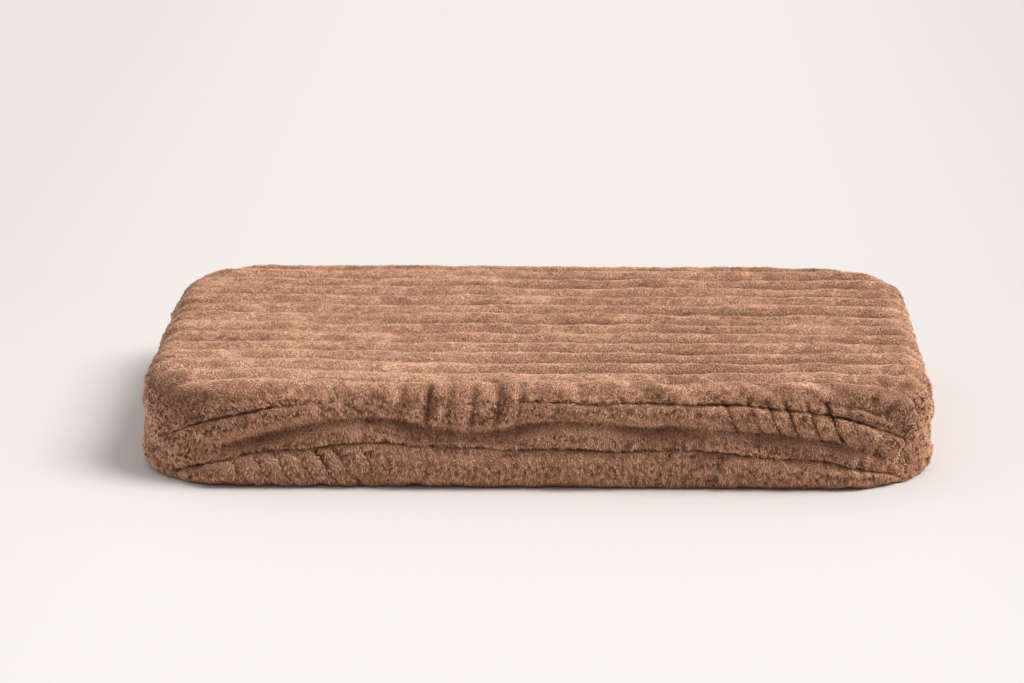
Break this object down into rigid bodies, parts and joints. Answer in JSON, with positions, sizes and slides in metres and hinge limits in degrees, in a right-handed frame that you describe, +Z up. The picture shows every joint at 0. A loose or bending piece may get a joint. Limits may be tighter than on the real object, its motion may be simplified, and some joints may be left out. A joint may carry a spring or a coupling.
{
  "type": "pet cushion bed",
  "caption": "Low rectangular pet cushion bed: a boxed brown plush cover with rounded corners, zipped at the back over a lined foam mattress.",
  "frame": {"origin": "centre of the underside, on the ground", "axes": "+X to the right along the bed's length, -Y out of the front, +Y out of the back where the zip is, +Z up"},
  "size_m": [0.9, 0.6, 0.12],
  "materials": {
    "plush": "matte",
    "liner_cloth": "matte",
    "topper_foam": "matte",
    "core_foam": "matte",
    "zip_tape": "matte",
    "zip_coil": "satin",
    "zip_metal": "satin"
  },
  "bodies": {
    "bed": {"top_panel": "plush", "bottom_panel": "plush", "front_band": "plush", "left_band": "plush", "right_band": "plush", "back_band_upper": "plush", "back_band_lower": "plush", "inner_liner": "liner_cloth", "foam_topper": "topper_foam", "foam_core": "core_foam", "zip_tape_upper": "zip_tape", "zip_tape_lower": "zip_tape", "zip_teeth_upper": "zip_coil", "zip_teeth_lower": "zip_coil", "zip_top_stop_upper": "zip_metal", "zip_top_stop_lower": "zip_metal", "zip_bottom_stop": "zip_metal"},
    "slider": {"zip_slider": "zip_metal"},
    "pull_tab": {"zip_pull": "zip_metal"}
  },
  "joints": [
    {"name": "zip_slide", "type": "slide", "parent": "bed", "child": "slider", "axis": [-1, 0, 0], "range_m": [0, 0.582]},
    {"name": "pull_hinge", "type": "hinge", "parent": "slider", "child": "pull_tab", "pos_m": [0.299, 0.2965, 0.06], "axis": [0, 0, -1], "range_deg": [0, 165]}
  ]
}
